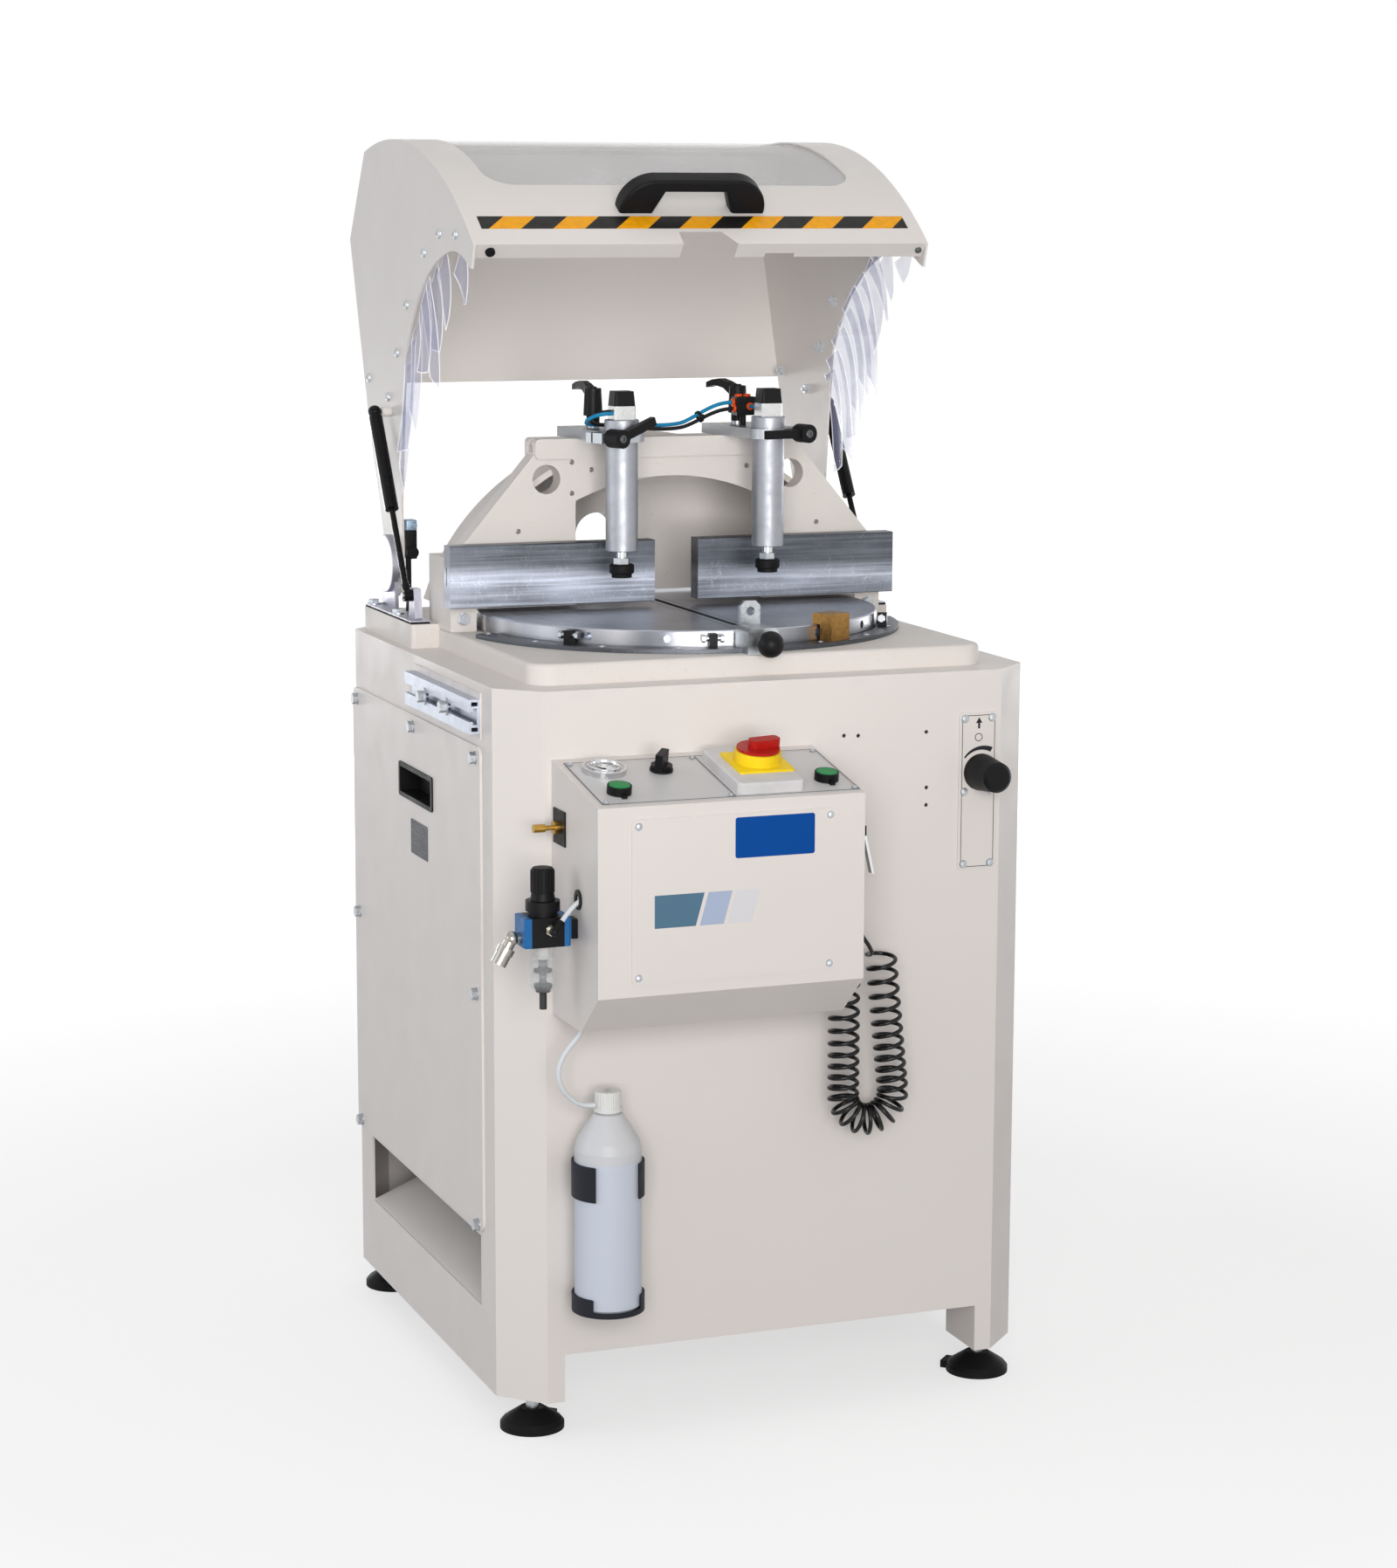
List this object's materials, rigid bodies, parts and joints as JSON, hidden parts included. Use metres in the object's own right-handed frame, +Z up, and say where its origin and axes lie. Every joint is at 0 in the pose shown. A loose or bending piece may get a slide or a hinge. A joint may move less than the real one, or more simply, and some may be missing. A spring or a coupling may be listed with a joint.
{
  "type": "automatic up-cut saw",
  "caption": "Free-standing pneumatic up-cut saw: cabinet with a mitre turntable, hidden rising blade, air clamps, fences, swing-up hood and a front control box.",
  "frame": {"origin": "on the floor under the turntable axis", "axes": "+Z up; -Y towards the operator; +X to the operator's right"},
  "size_m": [0.7708, 0.9916, 1.579],
  "materials": {
    "cabinet_paint": "satin",
    "hood_paint": "satin",
    "casting_paint": "painted satin",
    "zinc": "zinc plated",
    "steel": "brushed",
    "ground_steel": "ground",
    "alu": "anodised",
    "bronze": "machined",
    "black_plastic": "matt",
    "black_rubber": "matt",
    "belt_rubber": "matt",
    "clear": "clear",
    "strip_clear": "translucent soft plastic",
    "green": "gloss",
    "red": "gloss",
    "switch_grey": "satin",
    "blue_tube": "gloss",
    "tube_clear": "translucent",
    "hose_black": "gloss",
    "chrome": "polished",
    "bottle": "translucent",
    "motor_paint": "painted",
    "strut_black": "satin"
  },
  "bodies": {
    "base": {"cabinet_shell": "cabinet_paint", "side_cover": "cabinet_paint", "recessed_pull": "black_plastic", "foot_pads": "black_rubber", "zinc_fasteners": "zinc", "roller_rails": "alu", "base_casting": "casting_paint", "turntable_ring": "steel", "bridge_casting": "casting_paint", "fences": "alu", "table_stops": "steel", "bronze_clamp": "bronze", "hinge_brackets": "zinc", "control_box": "cabinet_paint", "cover_plates": "cabinet_paint", "panel_glass": "clear", "panel_fittings": "black_plastic", "switch_base": "switch_grey", "regulator_body": "black_plastic", "regulator_bowl": "clear", "air_fittings": "zinc", "rinse_bottle": "bottle", "bottle_holder": "black_plastic", "plastic_tubes": "tube_clear", "spiral_hose": "hose_black", "blow_gun": "black_plastic", "clamp_tubes": "blue_tube", "clamp_arms": "steel", "clamp_cylinders": "alu"},
    "turntable": {"turntable_disc": "ground_steel", "index_tab": "steel", "saw_hanger": "steel", "motor": "motor_paint"},
    "saw_arm": {"saw_arm": "casting_paint", "drive_belt": "belt_rubber"},
    "blade": {"spindle": "steel", "saw_blade": "steel"},
    "motor_pulley": {"motor_pulley": "steel"},
    "lift_cylinder": {"lift_cylinder": "alu"},
    "lift_rod": {"lift_rod": "chrome"},
    "hood": {"hood_shell": "hood_paint", "hood_window": "clear", "hood_handle": "black_plastic", "strip_curtains": "strip_clear"},
    "strut_rods": {"strut_rods": "chrome"},
    "strut_tubes": {"strut_tubes": "strut_black"},
    "clamp_rod_left": {"clamp_rod_left": "chrome"},
    "clamp_rod_right": {"clamp_rod_right": "chrome"},
    "arm_lever_left": {"arm_lever_left": "black_plastic"},
    "arm_lever_right": {"arm_lever_right": "black_plastic"},
    "collar_lever_left": {"collar_lever_left": "black_plastic"},
    "collar_lever_right": {"collar_lever_right": "black_plastic"},
    "button_left": {"button_left": "green"},
    "button_right": {"button_right": "green"},
    "selector_knob": {"selector_knob": "black_plastic"},
    "switch_handle": {"switch_handle": "red"},
    "speed_knob": {"speed_knob": "black_plastic"},
    "regulator_knob": {"regulator_knob": "black_plastic"},
    "index_knob": {"index_knob": "black_plastic"},
    "blow_gun_lever": {"blow_gun_lever": "chrome"}
  },
  "joints": [
    {"name": "hood_hinge", "type": "hinge", "parent": "base", "child": "hood", "pos_m": [0, 0.256, 1.02], "axis": [1, 0, 0], "range_deg": [0, 53], "deforming": ["strip_curtains"]},
    {"name": "strut_swing", "type": "hinge", "parent": "base", "child": "strut_rods", "pos_m": [0, 0.127, 0.991], "axis": [1, 0, 0], "range_deg": [0, 39.84]},
    {"name": "strut_slide", "type": "slide", "parent": "strut_rods", "child": "strut_tubes", "axis": [0, 0.5359, 0.8443], "range_m": [-0.10752, 0]},
    {"name": "turntable_turn", "type": "hinge", "parent": "base", "child": "turntable", "pos_m": [0, 0, 0.956], "axis": [0, 0, 1], "range_deg": [-45, 45]},
    {"name": "arm_lift", "type": "hinge", "parent": "turntable", "child": "saw_arm", "pos_m": [-0.033, 0.15, 0.735], "axis": [-1, 0, 0], "range_deg": [0, 33.1]},
    {"name": "blade_spin", "type": "hinge", "parent": "saw_arm", "child": "blade", "pos_m": [0, -0.08475, 0.7849], "axis": [1, 0, 0], "continuous": true},
    {"name": "motor_spin", "type": "hinge", "parent": "turntable", "child": "motor_pulley", "pos_m": [-0.072, 0.15, 0.735], "axis": [1, 0, 0], "continuous": true},
    {"name": "lift_swing", "type": "hinge", "parent": "turntable", "child": "lift_cylinder", "pos_m": [-0.033, 0.01, 0.48], "axis": [-1, 0, 0], "range_deg": [0, 3.25]},
    {"name": "lift_slide", "type": "slide", "parent": "lift_cylinder", "child": "lift_rod", "axis": [0, 0.0261, 0.9997], "range_m": [0, 0.07426]},
    {"name": "clamp_left", "type": "slide", "parent": "base", "child": "clamp_rod_left", "axis": [0, 0, -1], "range_m": [0, 0.044]},
    {"name": "clamp_right", "type": "slide", "parent": "base", "child": "clamp_rod_right", "axis": [0, 0, -1], "range_m": [0, 0.044]},
    {"name": "arm_lever_left_turn", "type": "hinge", "parent": "base", "child": "arm_lever_left", "pos_m": [-0.1, 0.043, 1.211], "axis": [0, 0, 1], "range_deg": [-40, 60]},
    {"name": "arm_lever_right_turn", "type": "hinge", "parent": "base", "child": "arm_lever_right", "pos_m": [0.1015, 0.043, 1.211], "axis": [0, 0, 1], "range_deg": [-40, 60]},
    {"name": "collar_lever_left_turn", "type": "hinge", "parent": "base", "child": "collar_lever_left", "pos_m": [-0.11711, -0.07542, 1.2045], "axis": [0.342, -0.9397, 0], "range_deg": [-30, 45]},
    {"name": "collar_lever_right_turn", "type": "hinge", "parent": "base", "child": "collar_lever_right", "pos_m": [0.14733, -0.05618, 1.2045], "axis": [0.2419, -0.9703, 0], "range_deg": [-45, 30]},
    {"name": "button_left_press", "type": "slide", "parent": "base", "child": "button_left", "axis": [0, 0.1882, -0.9821], "range_m": [0, 0.004], "stiffness_N_per_m": 300},
    {"name": "button_right_press", "type": "slide", "parent": "base", "child": "button_right", "axis": [0, 0.1882, -0.9821], "range_m": [0, 0.004], "stiffness_N_per_m": 300},
    {"name": "selector_turn", "type": "hinge", "parent": "base", "child": "selector_knob", "pos_m": [-0.174, -0.41483, 0.84372], "axis": [0, -0.1882, 0.9821], "range_deg": [-45, 45]},
    {"name": "main_switch_turn", "type": "hinge", "parent": "base", "child": "switch_handle", "pos_m": [-0.064, -0.44707, 0.8579], "axis": [0, -0.1882, 0.9821], "range_deg": [-90, 0]},
    {"name": "speed_knob_turn", "type": "hinge", "parent": "base", "child": "speed_knob", "pos_m": [0.272, -0.38, 0.799], "axis": [0, -1, 0], "range_deg": [-135, 135]},
    {"name": "regulator_knob_turn", "type": "hinge", "parent": "base", "child": "regulator_knob", "pos_m": [-0.332, -0.44, 0.71], "axis": [0, 0, 1], "range_deg": [-170, 170]},
    {"name": "index_plunger", "type": "slide", "parent": "base", "child": "index_knob", "axis": [0, 1, 0], "range_m": [0, 0.008]},
    {"name": "blow_gun_trigger", "type": "hinge", "parent": "base", "child": "blow_gun_lever", "pos_m": [0.08, -0.43, 0.75], "axis": [0, 1, 0], "range_deg": [0, 10], "stiffness_Nm_per_rad": 0.3}
  ],
  "couplings": [
    {"joint": "strut_swing", "follows": "hood_hinge", "ratio": 0.75147},
    {"joint": "strut_slide", "follows": "hood_hinge", "m_per_rad": -0.11622},
    {"joint": "motor_spin", "follows": "blade_spin", "ratio": 0.8},
    {"joint": "lift_swing", "follows": "arm_lift", "ratio": 0.097781},
    {"joint": "lift_slide", "follows": "arm_lift", "m_per_rad": 0.12853}
  ]
}
